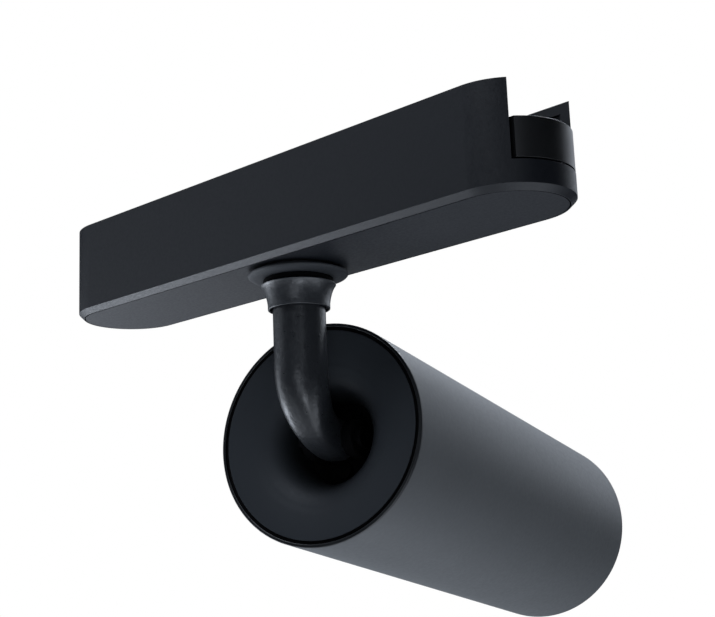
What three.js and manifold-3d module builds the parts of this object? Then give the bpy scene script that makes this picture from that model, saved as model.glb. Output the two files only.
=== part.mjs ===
// Track spotlight: a box-shaped gear housing that wraps a lighting track, a swivel under its
// middle, a bent arm, and a long cylindrical lamp head with a dished back.
// Millimetres, +Z up. The origin is the middle of the seat that bears on the track's underside.
import * as THREE from "three";
import { mergeVertices } from "three/addons/utils/BufferGeometryUtils.js";
import Module from "manifold-3d";

const wasm = await Module();
wasm.setup();

// ---- driving dimensions ----
const SEAT = 30.5; // height of the track seat above the housing's underside

const HOUSING = { length: 278, width: 50, height: 42, wall: 2.6, chamfer: 2.3 };
const CHANNEL = { halfWidth: 18.7, lipBottom: 38 };
const END_CUT = { left: 30.6, right: 11.1 }; // where the two end openings start, above the underside
const DECK = { thickness: 2.2, gap: 0.3, rightEnd: 108 };
const COVER = { thickness: 2, gap: 0.3, hole: 12.2 };

const JAW = { halfLength: 58, face: 18.9, web: 1.5, lip: 2, top: 37.5, arm: 40, pinY: 14.5, travel: 1.4 };
const CAM = { low: 22.3, high: 25.3, halfLength: 66, halfWidth: 20 };
const LATCH = { low: 11.5, high: 27.3, halfWidth: 17.7, travel: 6, inner: 112.3 };
const SPRING = { x0: 74.6, x1: 99.4, z: 17, radius: 3.6, wire: 0.6, turns: 7 };

const FLANGE = { radius: 21.2, boss: 12, low: -3.8 };
const SPINDLE = { radius: 9.1, bore: 5.5, low: -22, high: 16 };
const STOP = { radius: 19.6, pin: 1.2 };

const PAN_REST = 16.12; // degrees about +Z that turn the head off +Y
const TILT_REST = 6.45; // degrees that the head's front points below the horizon

const ARM = { radius: 11.1, top: -6.4, bendZ: -42, bendRadius: 27.06, side: 6.5, depth: 9, thins: [2, 35] };
const PIVOT = { depth: 14, hole: 3.3, axle: 3 }; // the tilt axle, as far in as depth from the head's back

const HEAD = { radius: 48, wall: 1.8, length: 248.6 };
const CAP = { radius: 45.5, throat: 18, flange: 1.2, groove: [45.3, 46.2] };
const SINK = { low: 29.6, fins: 20, core: 17, reach: 44, plate: 104, front: 110 };
const LUG = { inner: 8, outer: 12, half: 8 };

// ---- materials ----
const finish = (color, roughness, metalness) => () =>
  new THREE.MeshStandardMaterial({ color, roughness, metalness });
const blackPaint = finish(0x24282c, 0.45, 0.2);
const greyPaint = finish(0x3a3c3f, 0.6, 0.2);
const blackPlastic = finish(0x141516, 0.5, 0);
const whitePlastic = finish(0xd8d8d2, 0.5, 0);
const steel = finish(0xb4b6b8, 0.35, 0.9);
const blackSteel = finish(0x1c1c1d, 0.5, 0.7);
const brass = finish(0xc09a4a, 0.35, 0.9);
const aluminium = finish(0xc4c6c8, 0.4, 0.9);
const boardGreen = finish(0x1f5a3a, 0.5, 0);
const rubber = finish(0x101010, 0.8, 0);
const glass = finish(0xe6eef0, 0.05, 0);
const phosphor = finish(0xf0c848, 0.6, 0);

// ---- solids ----
// A closed three.js geometry as a manifold solid, its faces turned outwards.
function solid(geometry) {
  const bare = new THREE.BufferGeometry().setAttribute("position", geometry.getAttribute("position"));
  if (geometry.index) bare.setIndex(geometry.index);
  const merged = mergeVertices(bare, 1e-4);
  const place = merged.attributes.position;
  const corners = [];
  let volume = 0;
  const a = new THREE.Vector3(), b = new THREE.Vector3(), c = new THREE.Vector3();
  for (let i = 0; i < merged.index.count; i += 3) {
    const [p, q, r] = [0, 1, 2].map((k) => merged.index.getX(i + k));
    if (p === q || q === r || p === r) continue;
    corners.push([p, q, r]);
    a.fromBufferAttribute(place, p);
    b.fromBufferAttribute(place, q);
    c.fromBufferAttribute(place, r);
    volume += a.dot(b.cross(c));
  }
  const triVerts = new Uint32Array(corners.flatMap(([p, q, r]) => (volume < 0 ? [p, r, q] : [p, q, r])));
  return new wasm.Manifold(new wasm.Mesh({ numProp: 3, vertProperties: place.array, triVerts }));
}

function geometryOf(manifold) {
  const { vertProperties, triVerts } = manifold.getMesh();
  const geometry = new THREE.BufferGeometry();
  geometry.setAttribute("position", new THREE.BufferAttribute(new Float32Array(vertProperties), 3));
  geometry.setIndex(new THREE.BufferAttribute(new Uint32Array(triVerts), 1));
  geometry.computeVertexNormals();
  return geometry;
}

const join = (...parts) => parts.reduce((whole, part) => whole.add(part));
const cut = (whole, ...tools) => tools.reduce((left, tool) => left.subtract(tool), whole);

// A block between two opposite corners.
function block([x0, y0, z0], [x1, y1, z1]) {
  const box = new THREE.BoxGeometry(x1 - x0, y1 - y0, z1 - z0);
  return solid(box.translate((x0 + x1) / 2, (y0 + y1) / 2, (z0 + z1) / 2));
}

// A flat outline raised from z0 to z1.
function prism(shape, z0, z1, curveSegments = 16) {
  const raised = new THREE.ExtrudeGeometry(shape, { depth: z1 - z0, bevelEnabled: false, curveSegments });
  return solid(raised.translate(0, 0, z0));
}

// A round bar from one point to another along X, Y or Z.
function bar(radius, from, to, sides = 24) {
  const start = new THREE.Vector3(...from), end = new THREE.Vector3(...to);
  const along = end.clone().sub(start);
  const geometry = new THREE.CylinderGeometry(radius, radius, along.length(), sides);
  const upright = new THREE.Vector3(0, 1, 0);
  geometry.applyQuaternion(new THREE.Quaternion().setFromUnitVectors(upright, along.normalize()));
  const middle = start.add(end).multiplyScalar(0.5);
  return solid(geometry.translate(middle.x, middle.y, middle.z));
}

// A closed [radius, height] outline turned about the Y axis, which is the head's own axis.
function turned(profile, sides = 64) {
  const points = [...profile, profile[0]].map(([r, y]) => new THREE.Vector2(r, y));
  return solid(new THREE.LatheGeometry(points, sides));
}

// The same, turned about the Z axis.
function turnedUpright(profile, sides = 48) {
  const points = [...profile, profile[0]].map(([r, y]) => new THREE.Vector2(r, y));
  return solid(new THREE.LatheGeometry(points, sides).rotateX(Math.PI / 2));
}

const ring = (inner, outer, y0, y1) => [[inner, y0], [outer, y0], [outer, y1], [inner, y1]];

// A long outline with round ends.
function stadium(length, width) {
  const r = width / 2, c = length / 2 - r;
  const shape = new THREE.Shape();
  shape.absarc(c, 0, r, -Math.PI / 2, Math.PI / 2, false);
  shape.absarc(-c, 0, r, Math.PI / 2, (3 * Math.PI) / 2, false);
  return shape;
}

// The corners of a hexagon round [x, y], turned by so many steps of 60 degrees.
function sixCorners(x, y, r, steps) {
  return [0, 1, 2, 3, 4, 5].map((k) => {
    const angle = ((k + steps) * Math.PI) / 3;
    return new THREE.Vector2(x + r * Math.cos(angle), y + r * Math.sin(angle));
  });
}

// A regular outline of six sides, as wide across the flats as given.
function hexagon(flats) {
  return new THREE.Shape(sixCorners(0, 0, flats / Math.sqrt(3), 0));
}

// A skin over closed rings of points, with flat ends.
function loft(rings) {
  const n = rings[0].length;
  const points = rings.flat().flatMap((p) => p.toArray());
  const faces = [];
  for (let i = 0; i + 1 < rings.length; i++)
    for (let k = 0; k < n; k++) {
      const a = i * n + k, b = i * n + ((k + 1) % n);
      faces.push(a, b, b + n, a, b + n, a + n);
    }
  const last = (rings.length - 1) * n;
  for (let k = 1; k + 1 < n; k++) faces.push(0, k + 1, k, last, last + k, last + k + 1);
  const geometry = new THREE.BufferGeometry();
  geometry.setAttribute("position", new THREE.Float32BufferAttribute(points, 3));
  geometry.setIndex(faces);
  return solid(geometry);
}

function piece(group, name, material, manifold) {
  const mesh = new THREE.Mesh(geometryOf(manifold), material());
  mesh.name = name;
  group.add(mesh);
}

// A pan-head or flat-head screw standing along Z, its head's underside at z and its shank below.
function screw(x, y, z, { shank, length, head, height }) {
  const profile = [[0, -length], [shank, -length], [shank, 0], [head, 0], [head, height], [0, height]];
  return turnedUpright(profile, 12).translate([x, y, z]);
}

// ---- groups: the housing's own frame starts at its underside ----
const spotlight = new THREE.Group();
const fixture = new THREE.Group();
fixture.position.z = -SEAT;
spotlight.add(fixture);

const swivel = new THREE.Group();
swivel.rotation.z = THREE.MathUtils.degToRad(PAN_REST);
fixture.add(swivel);

const pivotY = ARM.bendRadius, pivotZ = ARM.bendZ - ARM.bendRadius;
const tilt = new THREE.Group();
tilt.position.set(0, pivotY, pivotZ);
tilt.rotation.x = -THREE.MathUtils.degToRad(TILT_REST);
swivel.add(tilt);
const head = new THREE.Group(); // its Y axis runs forward from the middle of the head's back
head.position.y = -PIVOT.depth;
tilt.add(head);

// ---- gear housing ----
const innerLength = HOUSING.length - 2 * HOUSING.wall, innerWidth = HOUSING.width - 2 * HOUSING.wall;
const deckLow = SEAT - DECK.thickness;
const BOSS = { x0: 94, x1: 102, inner: 15, low: 6, screwY: 18.6, hole: 1.3 };
const quarters = [[-1, -1], [-1, 1], [1, -1], [1, 1]];

function housingShell() {
  const outline = new THREE.ExtrudeGeometry(stadium(HOUSING.length, HOUSING.width), {
    depth: 2 * HOUSING.height, curveSegments: 20, bevelSegments: 1,
    bevelThickness: HOUSING.chamfer, bevelSize: HOUSING.chamfer, bevelOffset: -HOUSING.chamfer,
  }).translate(0, 0, HOUSING.chamfer);
  const past = HOUSING.length, over = 3 * HOUSING.height;
  const shell = cut(
    solid(outline),
    block([-past, -past, HOUSING.height], [past, past, over]),
    prism(stadium(innerLength, innerWidth), -1, CHANNEL.lipBottom, 16),
    block([-past, -CHANNEL.halfWidth, CHANNEL.lipBottom - 0.1], [past, CHANNEL.halfWidth, over]),
    block([-past, -CHANNEL.halfWidth, END_CUT.left], [-100, CHANNEL.halfWidth, over]),
    block([100, -CHANNEL.halfWidth, END_CUT.right], [past, CHANNEL.halfWidth, over]),
  );
  const bosses = quarters.map(([sx, sy]) => {
    const xs = [BOSS.x0 * sx, BOSS.x1 * sx].sort((p, q) => p - q);
    const ys = [BOSS.inner * sy, (innerWidth / 2 + 0.5) * sy].sort((p, q) => p - q);
    return block([xs[0], ys[0], BOSS.low], [xs[1], ys[1], deckLow]);
  });
  const holes = quarters.map(([sx, sy]) =>
    bar(BOSS.hole, [98 * sx, BOSS.screwY * sy, 14], [98 * sx, BOSS.screwY * sy, SEAT], 12));
  return cut(join(shell, ...bosses), ...holes);
}

// The cover closes the housing's underside and carries the swivel.
function bottomCover() {
  const gap = 2 * COVER.gap;
  const posts = [-1, 1].flatMap((sx) => [-1, 1].map((sy) => {
    const xs = [102.6 * sx, 104.6 * sx].sort((p, q) => p - q);
    const ys = [15 * sy, 19 * sy].sort((p, q) => p - q);
    return block([xs[0], ys[0], COVER.thickness / 2], [xs[1], ys[1], 12]);
  }));
  const plate = prism(stadium(innerLength - gap, innerWidth - gap), 0, COVER.thickness, 20);
  return cut(join(plate, ...posts), bar(COVER.hole, [0, 0, -1], [0, 0, 3], 48));
}

// The deck is the channel's floor. Its top is the seat for the track.
function adapterDeck() {
  const gap = 2 * DECK.gap;
  const plate = cut(
    prism(stadium(innerLength - gap, innerWidth - gap), deckLow, SEAT, 20),
    block([DECK.rightEnd, -30, 0], [150, 30, 40]),
  );
  const stirrup = cut(
    block([100, -12, 12], [103, 12, deckLow + 0.5]),
    block([99, -9, 21.6], [104, 9, deckLow]),
  );
  const notches = quarters.map(([sx, sy]) => {
    const ys = [17.9 * sy, 25 * sy].sort((p, q) => p - q);
    return block([JAW.arm * sx - 5.6, ys[0], 20], [JAW.arm * sx + 5.6, ys[1], 40]);
  });
  const screwHoles = quarters.map(([sx, sy]) => join(
    bar(1.8, [98 * sx, BOSS.screwY * sy, 20], [98 * sx, BOSS.screwY * sy, 40], 10),
    bar(3.2, [98 * sx, BOSS.screwY * sy, 29], [98 * sx, BOSS.screwY * sy, 40], 16),
  ));
  const leadHoles = [-1, 1].map((sy) => bar(2.2, [72, 12 * sy, 20], [72, 12 * sy, 40], 10));
  const earthRecess = block([-92, -4.2, 29.1], [-58, 4.2, 40]);
  return cut(join(plate, stirrup), ...notches, ...screwHoles, ...leadHoles, earthRecess);
}

const deckScrew = { shank: 1.2, length: 11, head: 2.8, height: 1.3 };

function earthContact() {
  return join(block([-91.6, -3.8, 29.3], [-58.4, 3.8, 29.9]), block([-80, -2.4, 29.8], [-70, 2.4, 30.4]));
}

// ---- track grips and their release ----
function jaw(sy) {
  const slab = (x0, x1, y0, y1, z0, z1) => {
    const ys = [y0 * sy, y1 * sy].sort((p, q) => p - q);
    return block([x0, ys[0], z0], [x1, ys[1], z1]);
  };
  const back = JAW.face + JAW.web;
  const arms = [-1, 1].flatMap((sx) => {
    const x = JAW.arm * sx;
    return [
      slab(x - 5, x + 5, JAW.face, back, 25.9, 31.5),
      slab(x - 5, x + 5, 12, back, 25.9, 27.9),
      bar(1.6, [x, JAW.pinY * sy, 21], [x, JAW.pinY * sy, 26.5], 16),
    ];
  });
  return join(
    slab(-JAW.halfLength, JAW.halfLength, JAW.face, back, SEAT + 0.3, JAW.top),
    slab(-JAW.halfLength + 6, JAW.halfLength - 6, JAW.face - JAW.lip, JAW.face + 0.5, 35.2, 36.7),
    ...arms,
  );
}

// A spring strip on the jaw's face, which touches the track's conductor.
function contact(sy) {
  const ys = [18.6 * sy, 17.9 * sy].sort((p, q) => p - q);
  const tip = [18.1 * sy, 17.2 * sy].sort((p, q) => p - q);
  return join(block([-24, ys[0], 31.2], [24, ys[1], 33.6]), block([-6, tip[0], 31.8], [6, tip[1], 33]));
}

// The cam plate's slanted slots push both jaws apart when the latch is pulled out.
function camPlate() {
  const plate = join(
    block([-CAM.halfLength, -CAM.halfWidth, CAM.low], [CAM.halfLength, CAM.halfWidth, CAM.high]),
    block([CAM.halfLength - 1, -7.6, CAM.low], [117.6, 7.6, CAM.high]),
    block([71, -6, 12], [74, 6, CAM.low + 0.5]),
  );
  const angle = Math.atan(JAW.travel / LATCH.travel);
  const length = Math.hypot(JAW.travel, LATCH.travel) + 4.2;
  const slots = quarters.map(([sx, sy]) => {
    const slot = new THREE.ExtrudeGeometry(stadium(length, 3.8), {
      depth: 6, bevelEnabled: false, curveSegments: 6,
    });
    slot.rotateZ(-angle * sy);
    slot.translate(JAW.arm * sx - LATCH.travel / 2, (JAW.pinY + JAW.travel / 2) * sy, CAM.low - 1.5);
    return solid(slot);
  });
  return cut(
    plate, ...slots,
    block([-28, -9, 20], [28, 9, 27]),
    bar(1.5, [115, 0, 20], [115, 0, 27], 16),
  );
}

function latchBlock() {
  const centre = HOUSING.length / 2 - HOUSING.width / 2;
  const round = bar(HOUSING.width / 2 - 0.1, [centre, 0, LATCH.low], [centre, 0, LATCH.high], 64);
  return cut(
    round,
    block([0, -40, 0], [LATCH.inner, 40, 40]),
    block([0, LATCH.halfWidth, 0], [200, 40, 40]),
    block([0, -40, 0], [200, -LATCH.halfWidth, 40]),
    block([0, -8, CAM.low - 0.4], [118, 8, CAM.high + 0.4]),
    bar(1.5, [115, 0, 13], [115, 0, 40], 16),
  );
}

function latchSpring() {
  class Coil extends THREE.Curve {
    getPoint(t, target = new THREE.Vector3()) {
      const angle = 2 * Math.PI * SPRING.turns * t;
      const x = THREE.MathUtils.lerp(SPRING.x0, SPRING.x1, t);
      return target.set(x, SPRING.radius * Math.cos(angle), SPRING.z + SPRING.radius * Math.sin(angle));
    }
  }
  const section = new THREE.Shape();
  section.absarc(0, 0, SPRING.wire, 0, 2 * Math.PI);
  return solid(new THREE.ExtrudeGeometry(section, {
    steps: SPRING.turns * 8, curveSegments: 2, extrudePath: new Coil(), bevelEnabled: false,
  }));
}

// ---- driver and terminals ----
const DRIVER = { x0: -126, x1: -30, half: 14.2, low: 2.6, high: 19 };

function driverCase() {
  const { x0, x1, half, low, high } = DRIVER;
  return cut(
    block([x0, -half, low], [x1, half, high]),
    block([x0 + 1.5, -half + 1.5, low + 1.5], [x1 - 1.5, half - 1.5, high + 1]),
    block([x1 - 3, -6, 9], [x1 + 1, 6, 15]),
  );
}

function terminalBlock() {
  const wells = [-8, 0, 8].flatMap((y) => [
    bar(2.4, [49, y, 12], [49, y, 25], 16),
    block([35, y - 2, 7], [44, y + 2, 11]),
  ]);
  return cut(block([36, -13, 2.6], [62, 13, 19]), ...wells);
}

// ---- swivel ----
const swivelFlange = [
  [9.4, FLANGE.low], [15.8, FLANGE.low], [18.6, -3.7], [20.5, -3.1], [FLANGE.radius, -2.3],
  [FLANGE.radius, -1.7], [17.6, -1.7], [17.6, -0.1], [FLANGE.boss, -0.1], [FLANGE.boss, 6], [9.4, 6],
];
const swivelCollar = [
  [11.4, -6.4], [15.5, -6.4], [15.8, -6.7], [15.2, -7.5], [14, -10.4], [13.4, -12.5], [13.1, -14.4],
  [13.1, -17], [12.3, -17], [12.3, -14], [11.4, -14],
];

function flangeNut() {
  const notches = [0, 1, 2, 3].map((k) => {
    const turn = (k * Math.PI) / 2 + Math.PI / 4;
    return solid(new THREE.BoxGeometry(4, 4, 10).translate(18, 0, 4).rotateZ(turn));
  });
  return cut(turnedUpright(ring(12.3, 17.6, 2.4, 6), 32), ...notches);
}

const panNut = () => cut(prism(hexagon(26), 7.8, 12.4), bar(9.4, [0, 0, 7], [0, 0, 13], 32));

function stopWasher() {
  return join(turnedUpright(ring(9.4, 13.4, 12.8, 14.2), 32), block([-2.5, 12.5, 12.8], [2.5, 20.6, 14.2]));
}

const ARM_SIDES = 28;

// The arm: a round tube that turns forward and thins to a flat-sided tongue round the tilt axle,
// between the two distances along the bend in ARM.thins.
function swanArm() {
  const bendLength = (ARM.bendRadius * Math.PI) / 2;
  const stations = [ARM.bendZ - ARM.top, -7];
  for (let s = -2; s < bendLength; s += 4.6) stations.push(s);
  stations.push(bendLength);
  const rings = stations.map((s) => {
    const angle = Math.max(0, s) / ARM.bendRadius;
    const y = ARM.bendRadius * (1 - Math.cos(angle));
    const z = ARM.bendZ - Math.min(0, s) - ARM.bendRadius * Math.sin(angle);
    const blend = THREE.MathUtils.smoothstep(s, ...ARM.thins);
    const side = THREE.MathUtils.lerp(ARM.radius, ARM.side, blend);
    const depth = THREE.MathUtils.lerp(ARM.radius, ARM.depth, blend);
    const power = 2 / THREE.MathUtils.lerp(2, 3.4, blend);
    return Array.from({ length: ARM_SIDES }, (_, k) => {
      const turn = (2 * Math.PI * k) / ARM_SIDES, c = Math.cos(turn), sn = Math.sin(turn);
      const across = side * Math.sign(c) * Math.abs(c) ** power;
      const out = depth * Math.sign(sn) * Math.abs(sn) ** power;
      return new THREE.Vector3(across, y + out * Math.cos(angle), z + out * Math.sin(angle));
    });
  });
  const eye = bar(ARM.depth, [-ARM.side, pivotY, pivotZ], [ARM.side, pivotY, pivotZ], 32);
  return cut(
    join(loft(rings), eye),
    bar(9.4, [0, 0, -24], [0, 0, 0], 32),
    bar(PIVOT.hole, [-20, pivotY, pivotZ], [20, pivotY, pivotZ], 24),
  );
}

// ---- head: outlines are [radius, distance forward from the back] ----
const tubeBack = CAP.flange + 0.1;
const bodyTube = [
  [HEAD.radius - HEAD.wall, tubeBack], [HEAD.radius, tubeBack], [HEAD.radius, HEAD.length],
  [HEAD.radius - HEAD.wall, HEAD.length],
];
const [grooveInner, grooveOuter] = CAP.groove;
const capRim = [
  [HEAD.radius, CAP.flange], [HEAD.radius, 0.3], [HEAD.radius - 0.3, 0], [grooveOuter, 0],
  [grooveOuter, 0.7], [grooveInner, 0.7],
];
const dish = [
  [grooveInner, 0.4], [grooveInner - 0.4, 0.1], [40, 0.5], [34, 1.5], [29, 3], [25, 5], [22, 7.8],
  [20, 11.5], [18.8, 16], [CAP.throat, 24],
];
const dishInside = [
  [CAP.throat + 2, 24], [20.8, 16.8], [22.2, 12.6], [25.2, 8.6], [30, 5.6], [36, 3.8], [43, 3], [43, 14],
  [CAP.radius, 14], [CAP.radius, 9.2], [43.9, 9.2], [43.9, 6.4], [CAP.radius, 6.4],
  [CAP.radius, CAP.flange],
];

function heatSink() {
  const outline = new THREE.Shape();
  const half = 1.1, step = (2 * Math.PI) / SINK.fins;
  for (let k = 0; k < SINK.fins; k++) {
    const along = new THREE.Vector2(Math.cos(k * step), Math.sin(k * step));
    const across = new THREE.Vector2(-along.y, along.x).multiplyScalar(half);
    [[SINK.core, -1], [SINK.reach, -1], [SINK.reach, 1], [SINK.core, 1]].forEach(([r, side], i) => {
      const p = along.clone().multiplyScalar(r).addScaledVector(across, side);
      if (k === 0 && i === 0) outline.moveTo(p.x, p.y);
      else outline.lineTo(p.x, p.y);
    });
  }
  outline.closePath();
  const fins = new THREE.ExtrudeGeometry(outline, { depth: SINK.plate + 1 - SINK.low, bevelEnabled: false });
  fins.translate(0, 0, SINK.low).rotateX(-Math.PI / 2);
  const holes = [-1, 1].flatMap((side) => [
    bar(2.3, [0, SINK.low - 1, 11.5 * side], [0, 44, 11.5 * side], 16),
    bar(1.5, [18 * side, 100, 0], [18 * side, 112, 0], 12),
  ]);
  const plate = turned([[0, SINK.plate], [45, SINK.plate], [45, SINK.front], [0, SINK.front]], 48);
  return cut(join(solid(fins), plate), ...holes);
}

function tiltYoke() {
  const ears = [-1, 1].map((side) => {
    const xs = [LUG.inner * side, LUG.outer * side].sort((p, q) => p - q);
    return join(
      block([xs[0], PIVOT.depth, -LUG.half], [xs[1], 26, LUG.half]),
      bar(LUG.half, [xs[0], PIVOT.depth, 0], [xs[1], PIVOT.depth, 0], 32),
    );
  });
  return cut(
    join(turned([[0, 25.4], [22, 25.4], [22, 29.2], [0, 29.2]], 32), ...ears),
    bar(PIVOT.hole, [-20, PIVOT.depth, 0], [20, PIVOT.depth, 0], 24),
    bar(2.3, [0, 24, 11.5], [0, 31, 11.5], 16),
    bar(2.3, [0, 24, -11.5], [0, 31, -11.5], 16),
  );
}

// A washer, nut or bolt on the tilt axle, given as rings along X.
const onAxle = (profile, sides = 20) =>
  solid(new THREE.LatheGeometry([...profile, profile[0]].map(([r, x]) => new THREE.Vector2(r, x)), sides)
    .rotateZ(-Math.PI / 2)).translate([0, PIVOT.depth, 0]);

function tiltNut() {
  const nut = new THREE.ExtrudeGeometry(hexagon(9.6), { depth: 2.8, bevelEnabled: false });
  nut.rotateY(Math.PI / 2).translate(-15.2, PIVOT.depth, 0);
  return cut(solid(nut), bar(PIVOT.hole, [-20, PIVOT.depth, 0], [0, PIVOT.depth, 0]));
}

const yokeScrew = { shank: 2, length: 16, head: 3.4, height: 3 };

// A screw that lies along the head's axis, its head's underside at y and its shank forward.
function headScrew(x, y, z, { shank, length, head: cap, height }) {
  const profile = [[0, -height], [cap, -height], [cap, 0], [shank, 0], [shank, length], [0, length]];
  return turned(profile, 14).translate([x, y, z]);
}

const REFLECTOR = { back: 117, front: 186, small: 11.6, large: 41.5, wall: 1.2 };

function reflector() {
  const wide = REFLECTOR.large - REFLECTOR.small, deep = REFLECTOR.front - REFLECTOR.back;
  const curve = Array.from({ length: 7 }, (_, k) => {
    const t = k / 6;
    return [REFLECTOR.small + wide * Math.sqrt(t * (2 - t) * 0.55 + 0.45 * t), REFLECTOR.back + deep * t];
  });
  const outside = curve.map(([r, y]) => [r + REFLECTOR.wall, y]).reverse();
  const lip = [[REFLECTOR.large, REFLECTOR.front + 2], [45.6, REFLECTOR.front + 2], [45.6, REFLECTOR.front]];
  return turned([...curve, ...lip, ...outside], 32);
}

// A flat grid of six-sided cells that hides the lens from the side.
function louvre() {
  const outline = new THREE.Shape();
  outline.absarc(0, 0, 45.6, 0, 2 * Math.PI);
  const pitch = 15, bladeThickness = 1.4, row = (pitch * Math.sqrt(3)) / 2;
  for (let j = -3; j <= 3; j++)
    for (let i = -4; i <= 4; i++) {
      const x = pitch * (i + (j % 2 ? 0.5 : 0)), y = row * j;
      if (Math.hypot(x, y) > 35.5) continue;
      outline.holes.push(new THREE.Path(sixCorners(x, y, (pitch - bladeThickness) / Math.sqrt(3), 0.5)));
    }
  const grid = new THREE.ExtrudeGeometry(outline, { depth: 12, bevelEnabled: false, curveSegments: 32 });
  return solid(grid.rotateX(-Math.PI / 2).translate(0, 216, 0));
}

// ---- assembly ----
piece(fixture, "housing_shell", blackPaint, housingShell());
piece(fixture, "bottom_cover", blackPaint, bottomCover());
piece(fixture, "adapter_deck", blackPlastic, adapterDeck());
quarters.forEach(([sx, sy], k) =>
  piece(fixture, `deck_screw_${k + 1}`, steel, screw(98 * sx, BOSS.screwY * sy, 29.1, deckScrew)));
piece(fixture, "earth_contact", brass, earthContact());
piece(fixture, "jaw_near", blackPlastic, jaw(-1));
piece(fixture, "jaw_far", blackPlastic, jaw(1));
piece(fixture, "contact_near", brass, contact(-1));
piece(fixture, "contact_far", brass, contact(1));
piece(fixture, "cam_plate", steel, camPlate());
piece(fixture, "latch_block", blackPlastic, latchBlock());
piece(fixture, "latch_pin", steel, bar(1.2, [115, 0, 14], [115, 0, 26.9], 16));
piece(fixture, "latch_spring", steel, latchSpring());

piece(fixture, "driver_case", whitePlastic, driverCase());
piece(fixture, "driver_lid", whitePlastic,
  block([DRIVER.x0, -DRIVER.half, DRIVER.high + 0.1], [DRIVER.x1, DRIVER.half, 20.3]));
piece(fixture, "driver_board", boardGreen, block([-123, -12.2, 6.4], [-33, 12.2, 8]));
piece(fixture, "driver_transformer", blackPlastic, block([-96, -9.5, 8.3], [-72, 9.5, 18]));
[-62, -50].forEach((x, k) =>
  piece(fixture, `driver_capacitor_${k + 1}`, blackPlastic, bar(4.6, [x, -8, 13.2], [x, 8, 13.2], 20)));
piece(fixture, "terminal_block", whitePlastic, terminalBlock());

piece(fixture, "swivel_flange", blackPaint, turnedUpright(swivelFlange, 40));
piece(fixture, "flange_nut", steel, flangeNut());
const stopAngle = THREE.MathUtils.degToRad(PAN_REST);
const stopAt = [STOP.radius * Math.sin(stopAngle), -STOP.radius * Math.cos(stopAngle)];
piece(fixture, "pan_stop_pin", steel, bar(STOP.pin, [...stopAt, 2.2], [...stopAt, 14.4], 16));

piece(swivel, "pan_spindle", steel,
  turnedUpright(ring(SPINDLE.bore, SPINDLE.radius, SPINDLE.low, SPINDLE.high), 28));
piece(swivel, "pan_friction_washer", steel, turnedUpright(ring(9.4, 14.4, 6.3, 7.5), 28));
piece(swivel, "pan_nut", steel, panNut());
piece(swivel, "pan_stop_washer", steel, stopWasher());
piece(swivel, "swivel_bearing_ring", blackPlastic, turnedUpright(ring(9.5, 14.8, -6.1, -4.1), 40));
piece(swivel, "swivel_collar", blackPaint, turnedUpright(swivelCollar, 40));
piece(swivel, "arm", greyPaint, swanArm());

piece(head, "body_tube", greyPaint, turned(bodyTube, 64));
piece(head, "rear_cap", blackPlastic, turned([...capRim, ...dish, ...dishInside], 40));
piece(head, "rear_seal", rubber, turned([[44.2, 6.8], [45.9, 7.2], [45.9, 8.4], [44.2, 8.8]], 32));
piece(head, "heat_sink", aluminium, heatSink());
piece(head, "tilt_yoke", blackPaint, tiltYoke());
piece(head, "tilt_washer_left", blackPlastic, onAxle(ring(3.4, 7.4, 6.8, 7.7)));
piece(head, "tilt_washer_right", blackPlastic, onAxle(ring(3.4, 7.4, -7.7, -6.8)));
piece(head, "tilt_axle", blackSteel,
  onAxle([[0, -15.4], [PIVOT.axle, -15.4], [PIVOT.axle, 12.3], [5, 12.3], [5, 14.6], [0, 14.6]]));
piece(head, "tilt_nut", blackSteel, tiltNut());
[-1, 1].forEach((side, k) =>
  piece(head, `yoke_screw_${k + 1}`, blackSteel, headScrew(0, 25.1, 11.5 * side, yokeScrew)));

piece(head, "led_board", aluminium, cut(
  turned([[0, 110.3], [24, 110.3], [24, 111.8], [0, 111.8]], 28),
  ...[-1, 1].map((side) => bar(1.7, [18 * side, 109, 0], [18 * side, 113, 0], 12))));
piece(head, "led_emitter", phosphor, turned([[0, 112.1], [9.6, 112.1], [9.6, 113.2], [0, 113.2]], 24));
piece(head, "led_holder", whitePlastic, cut(
  turned([[10.2, 112.1], [24, 112.1], [24, 115], [11, 116.4]], 28),
  ...[-1, 1].map((side) => bar(1.7, [18 * side, 109, 0], [18 * side, 118, 0], 12))));
[-1, 1].forEach((side, k) => {
  const lying = turned([[0, -6], [1.2, -6], [1.2, 0], [2.8, 0], [2.8, 1.6], [0, 1.6]], 12);
  piece(head, `led_screw_${k + 1}`, steel, lying.translate([18 * side, 116.2, 0]));
});
piece(head, "reflector", aluminium, reflector());
piece(head, "glass_seat", blackPlastic,
  turned([[41.6, 188.4], [45.7, 188.4], [45.7, 208], [44.4, 208], [44.4, 204], [41.6, 204]], 32));
piece(head, "front_glass", glass, turned([[0, 204.3], [44, 204.3], [44, 207.7], [0, 207.7]], 32));
piece(head, "glass_gasket", rubber, turned(ring(41.6, 45.7, 208.4, 210.6), 32));
piece(head, "louvre", blackPlastic, louvre());
piece(head, "front_ring", blackPaint, turned([[42.6, 228.4], [45.8, 228.4], [45.8, 236], [44.2, 236]], 48));

export default spotlight;
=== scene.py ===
"""Track spotlight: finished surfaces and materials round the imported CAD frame."""

from math import atan2, cos, hypot, pi, radians, sin, sqrt

import bmesh
import bpy
from mathutils import Matrix, Vector


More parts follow.
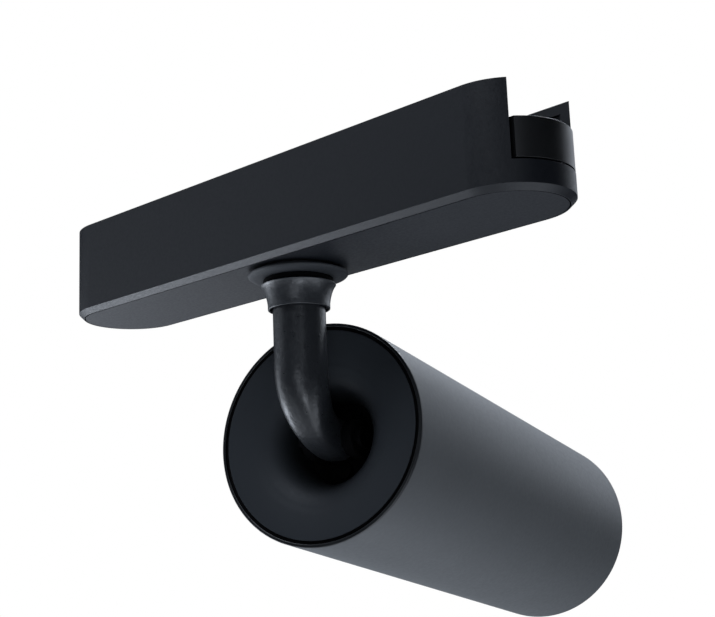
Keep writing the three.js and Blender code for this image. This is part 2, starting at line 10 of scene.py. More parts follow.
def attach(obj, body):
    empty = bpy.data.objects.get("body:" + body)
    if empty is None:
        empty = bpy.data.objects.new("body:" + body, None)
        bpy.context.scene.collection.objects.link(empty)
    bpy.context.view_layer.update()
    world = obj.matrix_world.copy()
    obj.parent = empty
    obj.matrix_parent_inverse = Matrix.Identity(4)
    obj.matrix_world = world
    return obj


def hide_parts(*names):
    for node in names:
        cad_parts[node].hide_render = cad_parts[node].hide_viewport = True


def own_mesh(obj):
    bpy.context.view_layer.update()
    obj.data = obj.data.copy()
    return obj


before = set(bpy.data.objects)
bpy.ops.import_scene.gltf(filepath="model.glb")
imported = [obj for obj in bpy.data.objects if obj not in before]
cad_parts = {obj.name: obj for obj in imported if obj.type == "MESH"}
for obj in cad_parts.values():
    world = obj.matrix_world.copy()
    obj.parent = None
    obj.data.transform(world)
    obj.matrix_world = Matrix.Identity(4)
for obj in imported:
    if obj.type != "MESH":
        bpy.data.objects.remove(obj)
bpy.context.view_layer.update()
scene = bpy.context.scene

# ---- dimensions, in millimetres and degrees, as in the CAD ----
# The gear box: heights are counted from its underside, and SEAT is the height of the frame's origin.
SEAT = 30.5
LENGTH, WIDTH, HEIGHT, WALL, CHAMFER = 278, 50, 42, 2.6, 2.3
CHANNEL_HALF, LIP_BOTTOM = 18.7, 38
END_CUT_START, LEFT_CUT, RIGHT_CUT = 100, 30.6, 11.1
COVER_GAP, COVER_THICK, COVER_HOLE_R = 0.42, 2, 12.2
LATCH_BACK, LATCH_HALF, LATCH_LOW, LATCH_HIGH = 112.3, 17.5, 11.8, 27.3
CAM_SLOT = (100, -8, 21.9), (118, 8, 25.7)
# The swivel: the arm comes straight down from ARM_TOP to BEND_Z, then bends forward to the tilt axle.
PAN_AT_REST, TILT_AT_REST = 16.12, -6.45
COLLAR_TOP, COLLAR_LIP, COLLAR_BOTTOM, COLLAR_R, COLLAR_BORE_R = -6.4, -15.5, -17, 13.1, 11.4
ARM_R, ARM_TOP, BEND_Z, BEND_R = 11.1, -6.4, -42, 27.06
ARM_BORE_R, TONGUE_SIDE, TONGUE_DEPTH, AXLE_HOLE_R = 9.4, 6.5, 9, 3.3
THINNING_START, THINNING_END = 2, 35
# The head: distances along it are counted from its rear edge, and the tilt axle is AXLE_IN inside that.
HEAD_R, HEAD_WALL, HEAD_LENGTH, AXLE_IN = 48, 1.8, 248.6, 14
GROOVE_IN, GROOVE_OUT, GROOVE_DEPTH = 45.1, 46.5, 1.05
BOWL_START, BOWL_DEPTH, BOWL_THROAT_R, BOWL_MOUTH_R, BOWL_WALL = 117, 69, 11.6, 41.5, 1.2

HOUSE = Matrix.Scale(0.001, 4) @ Matrix.Translation((0, 0, -SEAT))
SWIVEL = HOUSE @ Matrix.Rotation(radians(PAN_AT_REST), 4, "Z")
AXLE = SWIVEL @ Matrix.Translation((0, BEND_R, BEND_Z - BEND_R))
TILT = AXLE @ Matrix.Rotation(radians(TILT_AT_REST), 4, "X")
HEAD = TILT @ Matrix.Translation((0, -AXLE_IN, 0))

# ---- camera at the photograph's viewing angle, in metres ----
CAMERA_LENS, CAMERA_SENSOR = 74.22, 36
CAMERA_AT = Vector((0.43495, -0.41617, -0.18567))
CAMERA_FORWARD = Vector((-0.67636, 0.70186, 0.22343))
CAMERA_UP = Vector((0.18323, -0.13348, 0.97397))


def aim_camera():
    data = bpy.data.cameras.new("camera")
    data.sensor_width = CAMERA_SENSOR
    data.lens = CAMERA_LENS
    camera = bpy.data.objects.new("camera", data)
    forward = CAMERA_FORWARD.normalized()
    right = forward.cross(CAMERA_UP).normalized()
    up = right.cross(forward)
    turn = Matrix((right, up, -forward)).transposed().to_4x4()
    camera.matrix_world = Matrix.Translation(CAMERA_AT) @ turn
    scene.collection.objects.link(camera)
    scene.camera = camera


aim_camera()


# ---- meshes ----
def make(name, bm, place, smooth=32):
    """An object from a bmesh in millimetres, put in its place, smooth below that edge angle."""
    bmesh.ops.remove_doubles(bm, verts=bm.verts, dist=1e-5)
    bmesh.ops.recalc_face_normals(bm, faces=bm.faces)
    mesh = bpy.data.meshes.new(name)
    bm.to_mesh(mesh)
    bm.free()
    mesh.transform(place)
    mesh.shade_smooth()
    mesh.set_sharp_from_angle(angle=radians(smooth))
    obj = bpy.data.objects.new(name, mesh)
    scene.collection.objects.link(obj)
    return obj


def apply_modifiers(obj):
    depsgraph = bpy.context.evaluated_depsgraph_get()
    mesh = bpy.data.meshes.new_from_object(obj.evaluated_get(depsgraph))
    obj.modifiers.clear()
    obj.data = mesh


def cut(obj, *tools):
    """Cuts the tools out of the object and deletes them."""
    for tool in tools:
        boolean = obj.modifiers.new("cut", "BOOLEAN")
        boolean.operation = "DIFFERENCE"
        boolean.solver = "EXACT"
        boolean.object = tool
    apply_modifiers(obj)
    for tool in tools:
        bpy.data.objects.remove(tool)


def soften(obj, width):
    """Small round edges, so that corners catch the light as moulded and machined ones do.

    The width is in millimetres."""
    bevel = obj.modifiers.new("bevel", "BEVEL")
    bevel.width = width * 0.001
    bevel.segments = 3
    bevel.limit_method = "ANGLE"
    bevel.angle_limit = radians(35)
    bevel.use_clamp_overlap = True
    bevel.harden_normals = True
    normals = obj.modifiers.new("normals", "WEIGHTED_NORMAL")
    normals.keep_sharp = True
    apply_modifiers(obj)


def circle(radius, sides):
    """Points round a circle about the origin."""
    return [(radius * cos(2 * pi * k / sides), radius * sin(2 * pi * k / sides)) for k in range(sides)]


def stadium(length, width, steps=56):
    """The outline of a long plate with round ends."""
    r = width / 2
    c = length / 2 - r
    right = [(c + r * sin(pi * k / steps), -r * cos(pi * k / steps)) for k in range(steps + 1)]
    return right + [(-x, -y) for x, y in right]


def skin(bm, rings, loop=False):
    """Faces over rings of points, with the ends capped, or the last ring joined to the first in a loop."""
    rows = [[bm.verts.new(p) for p in ring] for ring in rings]
    count = len(rows[0])
    pairs = list(zip(rows, rows[1:] + rows[:1])) if loop else list(zip(rows, rows[1:]))
    for low, high in pairs:
        for k in range(count):
            bm.faces.new((low[k], low[(k + 1) % count], high[(k + 1) % count], high[k]))
    if not loop:
        bm.faces.new(list(reversed(rows[0])))
        bm.faces.new(rows[-1])


def prism(name, outline, z0, z1):
    """An upright solid of that outline, from one height to another."""
    bm = bmesh.new()
    skin(bm, [[(x, y, z) for x, y in outline] for z in (z0, z1)])
    return make(name, bm, HOUSE)


def block(low, high):
    """A box between two corners, to cut with."""
    (x0, y0, z0), (x1, y1, z1) = low, high
    return prism("tool", [(x0, y0), (x1, y0), (x1, y1), (x0, y1)], z0, z1)


def revolve(name, profile, place, upright=False, sides=160, smooth=32):
    """A closed [radius, distance] outline turned about the place's Y axis, or about Z when upright."""
    def spot(r, d, angle):
        return (r * cos(angle), r * sin(angle), d) if upright else (r * cos(angle), d, r * sin(angle))
    bm = bmesh.new()
    rings = [[spot(r, d, 2 * pi * k / sides) for k in range(sides)] for r, d in profile]
    skin(bm, rings, loop=True)
    return make(name, bm, place, smooth)


def rounded(points, radius, steps=4):
    """The closed outline with every corner rounded by the radius, or by its own, a point's third number."""
    out = []
    count = len(points)
    for i, point in enumerate(points):
        here = Vector(point[:2])
        size = point[2] if len(point) > 2 else radius
        before = Vector(points[i - 1][:2])
        after = Vector(points[(i + 1) % count][:2])
        size = min(size, (before - here).length * 0.45, (after - here).length * 0.45)
        if size < 0.01:
            out.append(tuple(here))
            continue
        start = here + (before - here).normalized() * size
        end = here + (after - here).normalized() * size
        for k in range(steps + 1):
            t = k / steps
            out.append(tuple(start * (1 - t) ** 2 + here * 2 * t * (1 - t) + end * t ** 2))
    return out


def curve_through(points, steps=6):
    """A smooth open line through the points."""
    out = []
    for i in range(len(points) - 1):
        p0 = Vector(points[max(i - 1, 0)])
        p1 = Vector(points[i])
        p2 = Vector(points[i + 1])
        p3 = Vector(points[min(i + 2, len(points) - 1)])
        for k in range(steps):
            t = k / steps
            out.append(tuple(0.5 * (2 * p1 + (p2 - p0) * t + (2 * p0 - 5 * p1 + 4 * p2 - p3) * t ** 2
                                    + (3 * p1 - p0 - 3 * p2 + p3) * t ** 3)))
    return out + [tuple(points[-1])]


def smoothstep(t):
    t = min(1.0, max(0.0, t))
    return t * t * (3 - 2 * t)


# ---- materials ----
def shader(name, base, roughness, metallic=0.0, **sockets):
    """A new material, its node tree and its main shader."""
    material = bpy.data.materials.new(name)
    material.use_nodes = True
    principled = material.node_tree.nodes["Principled BSDF"]
    principled.inputs["Base Color"].default_value = (*base, 1)
    principled.inputs["Roughness"].default_value = roughness
    principled.inputs["Metallic"].default_value = metallic
    for socket, value in sockets.items():
        principled.inputs[socket.replace("_", " ")].default_value = value
    return material, material.node_tree, principled


def noise(tree, scale, detail=3.0, roughness=0.5, stretch=None):
    """A noise that stays with the object, stretched along some axes if need be."""
    place = tree.nodes.new("ShaderNodeTexCoord")
    texture = tree.nodes.new("ShaderNodeTexNoise")
    texture.inputs["Scale"].default_value = scale
    texture.inputs["Detail"].default_value = detail
    texture.inputs["Roughness"].default_value = roughness
    source = place.outputs["Object"]
    if stretch:
        mapping = tree.nodes.new("ShaderNodeMapping")
        mapping.inputs["Scale"].default_value = stretch
        tree.links.new(source, mapping.inputs["Vector"])
        source = mapping.outputs["Vector"]
    tree.links.new(source, texture.inputs["Vector"])
    return texture.outputs["Fac"]


def spread(tree, value, low, high, inside=(0.3, 0.7)):
    """The value mapped from its usual range onto low to high."""
    node = tree.nodes.new("ShaderNodeMapRange")
    node.inputs["From Min"].default_value, node.inputs["From Max"].default_value = inside
    node.inputs["To Min"].default_value, node.inputs["To Max"].default_value = low, high
    tree.links.new(value, node.inputs["Value"])
    return node.outputs["Result"]


def tint(tree, value, dark, light, into):
    """A colour from dark to light, as the value goes through its usual range."""
    mix = tree.nodes.new("ShaderNodeMix")
    mix.data_type = "RGBA"
    mix.inputs["A"].default_value = (*dark, 1)
    mix.inputs["B"].default_value = (*light, 1)
    tree.links.new(spread(tree, value, 0, 1), mix.inputs["Factor"])
    tree.links.new(mix.outputs["Result"], into)


def bump(tree, height, strength, distance, into, below=None):
    """A relief, over the one below if there is one."""
    node = tree.nodes.new("ShaderNodeBump")
    node.inputs["Strength"].default_value = strength
    node.inputs["Distance"].default_value = distance
    tree.links.new(height, node.inputs["Height"])
    if below is not None:
        tree.links.new(below, node.inputs["Normal"])
    tree.links.new(node.outputs["Normal"], into)
    return node.outputs["Normal"]


def scaled(colour, k):
    return tuple(min(1.0, c * k) for c in colour)


def coat(name, base, roughness, grain, relief, wave=0.00003, level=0.5):
    """Powder coat: fine pebbling, a faint long wave, and paint that varies a little in tone and gloss."""
    material, tree, principled = shader(name, base, roughness)
    principled.inputs["Specular IOR Level"].default_value = level
    fine = noise(tree, 1000 / grain, 2.0)
    middling = noise(tree, 330 / grain, 4.0)
    broad = noise(tree, 28, 3.0)
    tint(tree, broad, scaled(base, 0.96), scaled(base, 1.04), principled.inputs["Base Color"])
    gloss = spread(tree, middling, roughness - 0.05, roughness + 0.06)
    tree.links.new(gloss, principled.inputs["Roughness"])
    under = bump(tree, middling, 0.35, wave, principled.inputs["Normal"])
    bump(tree, fine, relief, 0.0001, principled.inputs["Normal"], under)
    return material


def paint_shade_inwards(material, place, start, end, darkest):
    """Paints shade into the material's colour: fades it to the darkest between two distances from the place's
    Y axis.
    """
    tree = material.node_tree
    base = tree.nodes["Principled BSDF"].inputs["Base Color"]
    painted = base.links[0].from_socket
    point = tree.nodes.new("ShaderNodeTexCoord").outputs["Object"]
    where, turn, scale = place.inverted().decompose()
    local = tree.nodes.new("ShaderNodeMapping")
    local.inputs["Location"].default_value = where
    local.inputs["Rotation"].default_value = turn.to_euler()
    local.inputs["Scale"].default_value = scale
    across = tree.nodes.new("ShaderNodeVectorMath")
    across.operation = "MULTIPLY"
    across.inputs[1].default_value = (1, 0, 1)
    radius = tree.nodes.new("ShaderNodeVectorMath")
    radius.operation = "LENGTH"
    tree.links.new(point, local.inputs["Vector"])
    tree.links.new(local.outputs["Vector"], across.inputs[0])
    tree.links.new(across.outputs["Vector"], radius.inputs[0])
    fade = tree.nodes.new("ShaderNodeMapRange")
    fade.interpolation_type = "SMOOTHSTEP"
    fade.inputs["From Min"].default_value = end
    fade.inputs["From Max"].default_value = start
    tree.links.new(radius.outputs["Value"], fade.inputs["Value"])
    mix = tree.nodes.new("ShaderNodeMix")
    mix.data_type = "RGBA"
    mix.inputs["A"].default_value = (*darkest, 1)
    tree.links.new(painted, mix.inputs["B"])
    tree.links.new(fade.outputs["Result"], mix.inputs["Factor"])
    tree.links.new(mix.outputs["Result"], base)


def moulded(name, base, roughness, relief=0.12, level=0.5):
    """Moulded plastic: a fine spark-eroded grain and small changes of gloss."""
    material, tree, principled = shader(name, base, roughness)
    principled.inputs["Specular IOR Level"].default_value = level
    grain = noise(tree, 2600, 2.0)
    broad = noise(tree, 45, 3.0)
    tint(tree, broad, scaled(base, 0.9), scaled(base, 1.12), principled.inputs["Base Color"])
    gloss = spread(tree, broad, roughness - 0.05, roughness + 0.07)
    tree.links.new(gloss, principled.inputs["Roughness"])
    bump(tree, grain, relief, 0.00008, principled.inputs["Normal"])
    return material


def metal(name, base, roughness, stretch=(1, 40, 40), relief=0.06):
    """Bare metal with drawn or turned marks and a slight dulling."""
    material, tree, principled = shader(name, base, roughness, 1.0)
    lines = noise(tree, 60, 4.0, 0.6, stretch)
    stain = noise(tree, 90, 4.0)
    tint(tree, stain, scaled(base, 0.82), base, principled.inputs["Base Color"])
    gloss = spread(tree, stain, roughness - 0.06, roughness + 0.1)
    tree.links.new(gloss, principled.inputs["Roughness"])
    bump(tree, lines, relief, 0.00006, principled.inputs["Normal"])
    return material


def clear_glass():
    """Clear glass with a faint smear."""
    material, tree, principled = shader(
        "glass", (0.95, 0.98, 0.98), 0.03, 0, Transmission_Weight=1.0, IOR=1.5)
    smear = noise(tree, 35, 4.0)
    tree.links.new(spread(tree, smear, 0.02, 0.09), principled.inputs["Roughness"])
    return material


BOX_PAINT = coat("box_paint", (0.0072, 0.009, 0.0132), 0.45, 0.35, 0.07, level=0.62)
HEAD_PAINT = coat("head_paint", (0.121, 0.127, 0.132), 0.56, 0.62, 0.34, level=0.41)
CAP_PAINT = coat("cap_paint", (0.038, 0.043, 0.050), 0.5, 0.5, 0.06, level=0.17)
# Painted shade: the dish's colour darkens towards the throat, standing in for the shade that gathers in the
# funnel.
paint_shade_inwards(CAP_PAINT, HEAD, 28, 16.5, (0.004, 0.0045, 0.005))
ARM_PAINT = coat("arm_paint", (0.024, 0.0265, 0.0305), 0.32, 0.7, 0.4, 0.0005, level=0.78)
FLANGE_PAINT = coat("flange_paint", (0.041, 0.045, 0.051), 0.6, 0.5, 0.1, level=0.4)
COLLAR_PAINT = coat("collar_paint", (0.036, 0.040, 0.046), 0.36, 0.6, 0.4, 0.0005, level=1.0)
BLACK = moulded("black_plastic", (0.0055, 0.006, 0.007), 0.36, 0.05, 0.95)
RIM = moulded("rim_black", (0.010, 0.0115, 0.0135), 0.34, 0.05, 0.65)
# Painted shade: a near-black, dull material for faces and black parts that should read as lying in shade.
SHADE_BLACK = moulded("shade_black", (0.003, 0.003, 0.0035), 0.8, 0.12, 0.08)
WHITE = moulded("white_plastic", (0.72, 0.72, 0.69), 0.45)
RUBBER = moulded("rubber", (0.012, 0.012, 0.012), 0.75, 0.3)
GREEN = moulded("board", (0.03, 0.12, 0.06), 0.4)
STEEL = metal("steel", (0.56, 0.57, 0.58), 0.32)
DARK_STEEL = metal("black_steel", (0.013, 0.013, 0.014), 0.5)
BRASS = metal("brass", (0.72, 0.52, 0.22), 0.3)
ALUMINIUM = metal("aluminium", (0.74, 0.75, 0.76), 0.34)
MIRROR = metal("reflector", (0.86, 0.86, 0.86), 0.14, (8, 8, 8), 0.1)
PHOSPHOR = moulded("phosphor", (0.85, 0.62, 0.12), 0.5)
GLASS = clear_glass()


def dress(obj, material):
    obj.data.materials.clear()
    obj.data.materials.append(material)


def stands_for(obj, material, slot, body, *nodes):
    """Puts the object, in its material and moving with the body, in place of those CAD nodes."""
    dress(obj, material)
    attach(obj, body)
    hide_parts(*nodes)


def repaint(obj, material, chosen):
    """Puts one more material on the faces that are chosen by their centre, in metres, and normal."""
    obj.data.materials.append(material)
    for face in obj.data.polygons:
        if chosen(face.center, face.normal):
            face.material_index = len(obj.data.materials) - 1


# ---- gear box ----
def gear_housing():
    """The shell: open along its top for the track, and at both ends, deeper at the latch's end."""
    lower = stadium(LENGTH - 2 * CHAMFER, WIDTH - 2 * CHAMFER)
    outer = stadium(LENGTH, WIDTH)
    levels = (lower, 0), (outer, CHAMFER), (outer, HEIGHT)
    bm = bmesh.new()
    skin(bm, [[(x, y, z) for x, y in ring] for ring, z in levels])
    shell = make("gear_housing", bm, HOUSE)
    inner = stadium(LENGTH - 2 * WALL, WIDTH - 2 * WALL)
    cut(
        shell,
        prism("tool", inner, -1, LIP_BOTTOM),
        block((-LENGTH, -CHANNEL_HALF, LIP_BOTTOM - 0.1), (LENGTH, CHANNEL_HALF, HEIGHT + 5)),
        block((-LENGTH, -CHANNEL_HALF, LEFT_CUT), (-END_CUT_START, CHANNEL_HALF, HEIGHT + 6)),
        block((END_CUT_START, -CHANNEL_HALF, RIGHT_CUT), (LENGTH, CHANNEL_HALF, HEIGHT + 7)),
    )
    soften(shell, 0.28)
    stands_for(shell, BOX_PAINT, "gear_box_paint", "gear_box", "housing_shell")


def bottom_cover():
    """The plate inside the shell's lower rim. Its softened lower edge lies along the seam and is painted
    near-black as a painted shadow line.
    """
    gap = 2 * (WALL + COVER_GAP)
    plate = prism("cover_plate", stadium(LENGTH - gap, WIDTH - gap), 0, COVER_THICK)
    cut(plate, prism("tool", circle(COVER_HOLE_R, 96), -1, COVER_THICK + 1))
    soften(plate, 0.16)
    stands_for(plate, BOX_PAINT, "gear_box_paint", "gear_box", "bottom_cover")
    past_hole = 0.02  # metres from the middle
    # Painted shadow: the bevel faces along the lower edge are painted near-black, as a shadow line at the
    # seam.
    repaint(plate, SHADE_BLACK, lambda at, facing: 0.2 < -facing.z < 0.9 and hypot(at.x, at.y) > past_hole)


def latch_block():
    """The block in the right end, slotted at its back for the cam plate, with its sides and underside painted
    near-black as painted shade.
    """
    centre = LENGTH / 2 - WIDTH / 2
    r = WIDTH / 2 - 0.1
    reach = atan2(LATCH_HALF, sqrt(r * r - LATCH_HALF * LATCH_HALF))
    turns = [reach * (k / 40 - 1) for k in range(81)]
    arc = [(centre + r * cos(turn), r * sin(turn)) for turn in turns]
    outline = [(LATCH_BACK, -LATCH_HALF)] + arc + [(LATCH_BACK, LATCH_HALF)]
    latch = prism("latch_lock_block", outline, LATCH_LOW, LATCH_HIGH)
    cut(latch, block(*CAM_SLOT))
    soften(latch, 0.15)
    stands_for(latch, BLACK, "black_plastic", "latch", "latch_block")
    # Painted shade: the sides and underside are painted near-black so that the gaps round the block read as
    # shadow.
    repaint(latch, SHADE_BLACK, lambda at, facing: abs(facing.y) > 0.9 or facing.z < -0.9)


def coil_spring():
    """The latch's return spring, which shortens towards its fixed end as the latch slides."""
    x0, x1, z, radius, wire, turns = 74.6, 99.4, 17, 3.6, 0.6, 7
    steps = 24 * turns
    swept = 2 * pi * turns
    rings = []
    for k in range(steps + 1):
        t = k / steps
        c, sn = cos(swept * t), sin(swept * t)
        out = Vector((0, c, sn))
        centre = Vector((x0 + (x1 - x0) * t, 0, z)) + out * radius
        along = Vector((x1 - x0, -swept * radius * sn, swept * radius * c))
        side = along.normalized().cross(out)
        rings.append([centre + wire * (out * cos(pi * j / 5) + side * sin(pi * j / 5)) for j in range(10)])
    bm = bmesh.new()
    skin(bm, rings)
    spring = make("coil_spring", bm, HOUSE, 60)
    stands_for(spring, STEEL, "steel", "gear_box", "latch_spring")
    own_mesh(spring)


# ---- swivel ----
def swivel():
    """The flange under the gear box, the bearing ring below it, and the tapering collar."""
    flange = rounded([
        (9.4, -3.8, 0), (15.8, -3.8, 0.3), (18.6, -3.7, 1.2), (20.5, -3.1, 0.7), (21.2, -2.3, 0.5),
        (21.2, -1.7, 0.2), (17.6, -1.7, 0.2), (17.6, -0.1, 0.1), (12, -0.1, 0), (12, 6, 0), (9.4, 6, 0)], 0.2)
    disc = revolve("flange_disc", flange, HOUSE, True)
    stands_for(disc, FLANGE_PAINT, "gear_box_paint", "gear_box", "swivel_flange")
    section = rounded([(9.5, -6.1), (14.8, -6.1), (14.8, -4.1), (9.5, -4.1)], 0.25)
    bearing = revolve("bearing_ring", section, SWIVEL, True)
    # The bearing ring is black plastic, and is painted darker and duller than it as painted shade in the gap
    # under the flange.
    stands_for(bearing, SHADE_BLACK, "black_plastic", "swivel", "swivel_bearing_ring")
    top = [(COLLAR_BORE_R, COLLAR_TOP), (15.45, COLLAR_TOP), (15.68, -6.5), (15.79, -6.65)]
    flare = curve_through([
        (15.78, -6.8), (15.2, -7.6), (14.55, -8.9), (14, -10.4), (13.45, -12.5), (13.12, -14.6)])
    lip = rounded([
        (COLLAR_R, COLLAR_LIP, 0), (COLLAR_R, COLLAR_BOTTOM, 0.35), (12.3, COLLAR_BOTTOM, 0.25),
        (12.3, -14, 0.2), (COLLAR_BORE_R, -14, 0.2)], 0)
    collar = revolve("collar", top + flare + lip, SWIVEL, True)
    stands_for(collar, COLLAR_PAINT, "gear_box_paint", "swivel", "swivel_collar")


def arm():
    """A round tube that bends forward and thins to a flat-sided tongue round the tilt axle."""
    sides = 96
    bend = BEND_R * pi / 2
    straight = ARM_TOP - BEND_Z
    pivot_z = BEND_Z - BEND_R

    def section(s, inset=0.0):
        """The outline at that distance along the bend, from round to flat-sided."""
        blend = smoothstep((s - THINNING_START) / (THINNING_END - THINNING_START))
        side = ARM_R + (TONGUE_SIDE - ARM_R) * blend - inset
        depth = ARM_R + (TONGUE_DEPTH - ARM_R) * blend - inset
        power = 2 / (2 + 1.4 * blend)
        for c, sn in circle(1, sides):
            across = side * abs(c) ** power * (1 if c > 0 else -1)
            yield across, depth * abs(sn) ** power * (1 if sn > 0 else -1)

    # Each station is a distance from the start of the bend, and how far the outline is drawn in there.
    upper_edge = [(-straight, 0.4), (-straight + 0.12, 0.12), (-straight + 0.4, 0)]
    down = [(-straight + 4 * k, 0) for k in range(1, 8)]
    round_bend = [(-7 + (bend + 7) * k / 48, 0) for k in range(49)]
    rings = []
    for s, inset in upper_edge + down + round_bend:
        angle = max(0.0, s) / BEND_R
        y = BEND_R * (1 - cos(angle))
        z = BEND_Z - min(0.0, s) - BEND_R * sin(angle)
        rings.append([(x, y + out * cos(angle), z + out * sin(angle)) for x, out in section(s, inset)])
    end_steps = 16
    for k in range(1, end_steps + 1):
        turn = pi / 2 * k / end_steps
        y = BEND_R + TONGUE_DEPTH * sin(turn)
        rings.append([(x, y, pivot_z + out * cos(turn)) for x, out in section(bend)])
    bm = bmesh.new()
    skin(bm, rings)
    tube = make("swan_arm", bm, SWIVEL, 40)
    bore = revolve("bore", [(0, -24), (ARM_BORE_R, -24), (ARM_BORE_R, 0), (0, 0)], SWIVEL, True, 64)
    sideways = TILT @ Matrix.Rotation(pi / 2, 4, "Z")
    hole = revolve("hole", [(0, -20), (AXLE_HOLE_R, -20), (AXLE_HOLE_R, 20), (0, 20)], sideways, False, 48)
    cut(tube, bore, hole)
    tube.data.set_sharp_from_angle(angle=radians(35))
    stands_for(tube, ARM_PAINT, "arm_paint", "swivel", "arm")


# ---- head ----
def body_tube():
    inner = HEAD_R - HEAD_WALL
    outline = rounded([
        (inner, 1.3, 0.1), (HEAD_R, 1.3, 0.15), (HEAD_R, HEAD_LENGTH, 0.5), (inner, HEAD_LENGTH, 0.3)], 0.3)
    tube = revolve("body_cylinder", outline, HEAD, sides=256)
    stands_for(tube, HEAD_PAINT, "head_paint", "head", "body_tube")


def rear_cap():
    """The dished back with its open throat, and a black rim outside a groove painted near-black as painted
    shade.
    """
    rim = rounded([
        (HEAD_R, 1.2, 0.1), (HEAD_R, 0, 0.54), (GROOVE_OUT, 0, 0.4), (GROOVE_OUT, GROOVE_DEPTH, 0.1),
        (GROOVE_IN, GROOVE_DEPTH, 0.1), (GROOVE_IN, 0.12, 0.34), (44.3, 0.13, 0)], 0.2)
    dish = curve_through([
        (44.3, 0.13), (42.5, 0.25), (40, 0.5), (37, 0.93), (34, 1.5), (31.5, 2.2), (29, 3), (25, 5),
        (22, 7.8), (20, 11.5), (18.8, 16), (18, 24)])
    inside = [
        (20, 24), (20.8, 16.8), (22.2, 12.6), (25.2, 8.6), (30, 5.6), (36, 3.8), (43, 3), (43, 14),
        (45.5, 14), (45.5, 1.2)]
    cap = revolve("dished_cap", rim + dish[1:] + inside, HEAD, sides=256)
    stands_for(cap, CAP_PAINT, "black_plastic", "head", "rear_cap")
    to_head = HEAD.inverted()
    slack = 0.05

    def from_axis(at):
        return hypot(*(to_head @ at).xz)

    def in_groove(at):
        across = GROOVE_IN - slack < from_axis(at) < GROOVE_OUT + slack
        return across and 0.3 < (to_head @ at).y < GROOVE_DEPTH + slack

    repaint(cap, RIM, lambda at, facing: from_axis(at) > GROOVE_OUT - slack)
    # Painted shade: the groove's faces are painted near-black.
    repaint(cap, SHADE_BLACK, lambda at, facing: in_groove(at))


def front_ring():
    outline = rounded([(42.6, 228.4), (45.8, 228.4), (45.8, 236), (44.2, 236)], 0.3)
    ring = revolve("front_retainer", outline, HEAD, sides=192)
    stands_for(ring, BOX_PAINT, "gear_box_paint", "head", "front_ring")


def reflector():
    """A bowl that opens fast at its throat, with a flat rim."""
    steps = 24
    bowl = []
    for k in range(steps + 1):
        t = k / steps
        opening = sqrt(t * (2 - t) * 0.55 + 0.45 * t)
        radius = BOWL_THROAT_R + (BOWL_MOUTH_R - BOWL_THROAT_R) * opening
        bowl.append((radius, BOWL_START + BOWL_DEPTH * t))
    outside = [(r + BOWL_WALL, y) for r, y in reversed(bowl)]
    rim = [(BOWL_MOUTH_R, 188), (45.6, 188), (45.6, 186)]
    dished = revolve("reflector_bowl", bowl + rim + outside, HEAD, sides=128)
    stands_for(dished, MIRROR, "reflector", "head", "reflector")


gear_housing()
bottom_cover()
latch_block()
coil_spring()
swivel()
arm()
body_tube()
rear_cap()
front_ring()
reflector()

# ---- the CAD pieces that show as they are ----
CAD_LOOKS = {
    BLACK: "adapter_deck jaw_near jaw_far driver_transformer driver_capacitor_1 driver_capacitor_2 "
           "glass_seat louvre",
    # The tilt washers and yoke deep in the throat are painted near-black as painted shade.
    SHADE_BLACK: "tilt_washer_left tilt_washer_right tilt_yoke",
    WHITE: "driver_case driver_lid terminal_block led_holder",
    STEEL: "cam_plate latch_pin flange_nut pan_stop_pin pan_spindle pan_friction_washer pan_nut "
           "pan_stop_washer led_screw_1 led_screw_2 deck_screw_1 deck_screw_2 "
           "deck_screw_3 deck_screw_4",
    DARK_STEEL: "tilt_axle tilt_nut yoke_screw_1 yoke_screw_2",
    BRASS: "earth_contact contact_near contact_far",
    ALUMINIUM: "heat_sink led_board",
    GREEN: "driver_board",
    RUBBER: "rear_seal glass_gasket",
    GLASS: "front_glass",
    PHOSPHOR: "led_emitter",
}
for material, names in CAD_LOOKS.items():
    for name in names.split():
        dress(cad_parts[name], material)

# ---- studio, in metres ----
COOL_WHITE = (0.91, 0.98, 1.09)
DIM = 0.0105
FLOOR_Z, FLOOR_REACH = -1.3, 9
LIT_POINT = Vector((-0.02, 0.1, -0.08))

# The soft boxes: name, azimuth and elevation in degrees, distance, power in watts, and length of a side.
SOFT_BOXES = [
    ("high_behind", 90, 55, 1.3, 14.2, 0.7),
    ("high_front", 270, 55, 1.3, 6.1, 0.7),
    ("behind", 92, 18, 1.3, 1.6, 0.7),
    ("right", 66, 16, 1.3, 0.44, 0.42),
    ("facing", 322, 14, 1.3, 0.15, 0.25),
    ("front_left", 225, 20, 1.3, 0.61, 0.7),
    ("behind_left", 145, -16, 1.4, 0.56, 0.7),
    ("left", 200, -5, 1.3, 1.62, 0.7),
    ("front", 300, -10, 1.2, 0.75, 0.5),
    ("low_right", 20, -30, 0.9, 0.33, 0.4),
    ("under_left", 180, -30, 0.85, 1.85, 0.7),
    ("under_front", 225, -35, 0.85, 0.49, 0.7),
    ("under_right", 0, -50, 0.85, 1.06, 0.7),
    ("under", 100, -65, 1.1, 1.93, 0.7),
    ("glint_left", 206, -27, 0.85, 1.35, 0.28),
    ("glint_front", 314, -34, 0.85, 0.5, 0.2),
]


def mix_shaders(tree, factor, first, second, into):
    mix = tree.nodes.new("ShaderNodeMixShader")
    tree.links.new(factor, mix.inputs[0])
    tree.links.new(first, mix.inputs[1])
    tree.links.new(second, mix.inputs[2])
    tree.links.new(mix.outputs[0], into)


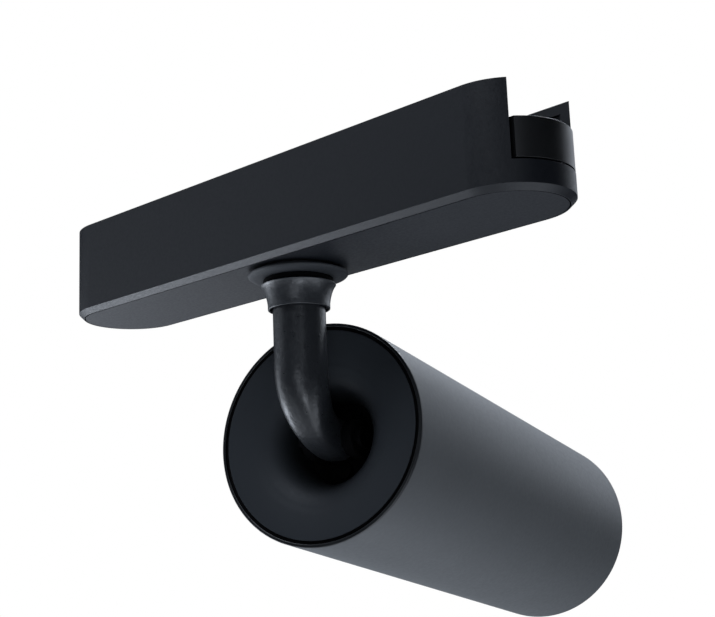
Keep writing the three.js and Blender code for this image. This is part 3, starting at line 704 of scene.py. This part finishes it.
def surround():
    """A surround that is white to look at and lights the object only faintly."""
    scene.view_settings.view_transform = "Standard"
    world = bpy.data.worlds.new("studio")
    scene.world = world
    world.use_nodes = True
    tree = world.node_tree
    white = tree.nodes["Background"]
    white.inputs["Color"].default_value = (1, 1, 1, 1)
    dim = tree.nodes.new("ShaderNodeBackground")
    dim.inputs["Color"].default_value = (*COOL_WHITE, 1)
    dim.inputs["Strength"].default_value = DIM
    seen = tree.nodes.new("ShaderNodeLightPath").outputs["Is Camera Ray"]
    mix_shaders(tree, seen, dim.outputs[0], white.outputs[0], tree.nodes["World Output"].inputs["Surface"])


def pale_floor():
    """A floor that looks evenly pale, and throws back the light that falls on it."""
    bm = bmesh.new()
    corners = ((-1, -1), (1, -1), (1, 1), (-1, 1))
    bm.faces.new([bm.verts.new((x * FLOOR_REACH, y * FLOOR_REACH, FLOOR_Z)) for x, y in corners])
    floor = make("studio_floor", bm, Matrix.Identity(4))
    material, tree, principled = shader("floor", (0.85, 0.85, 0.85), 0.7)
    mottle = noise(tree, 3, 3.0)
    tint(tree, mottle, (0.83, 0.83, 0.83), (0.87, 0.87, 0.87), principled.inputs["Base Color"])
    glow = tree.nodes.new("ShaderNodeEmission")
    tint(tree, mottle, (0.8, 0.8, 0.8), (0.82, 0.82, 0.82), glow.inputs["Color"])
    seen = tree.nodes.new("ShaderNodeLightPath").outputs["Is Camera Ray"]
    share = spread(tree, seen, 0, 0.9, (0, 1))
    surface = tree.nodes["Material Output"].inputs["Surface"]
    mix_shaders(tree, share, principled.outputs[0], glow.outputs[0], surface)
    dress(floor, material)


def soft_light(name, azimuth, elevation, away, power, size):
    """A soft box that faces the object from that direction."""
    light = bpy.data.lights.new(name, "AREA")
    light.shape = "SQUARE"
    light.size = size
    light.energy = power
    light.color = COOL_WHITE
    flat = cos(radians(elevation))
    toward = Vector((cos(radians(azimuth)) * flat, sin(radians(azimuth)) * flat, sin(radians(elevation))))
    obj = bpy.data.objects.new(name, light)
    obj.location = LIT_POINT + toward * away
    obj.rotation_euler = (-toward).to_track_quat("-Z", "Y").to_euler()
    obj.visible_camera = False
    scene.collection.objects.link(obj)


surround()
pale_floor()
for soft_box in SOFT_BOXES:
    soft_light(*soft_box)
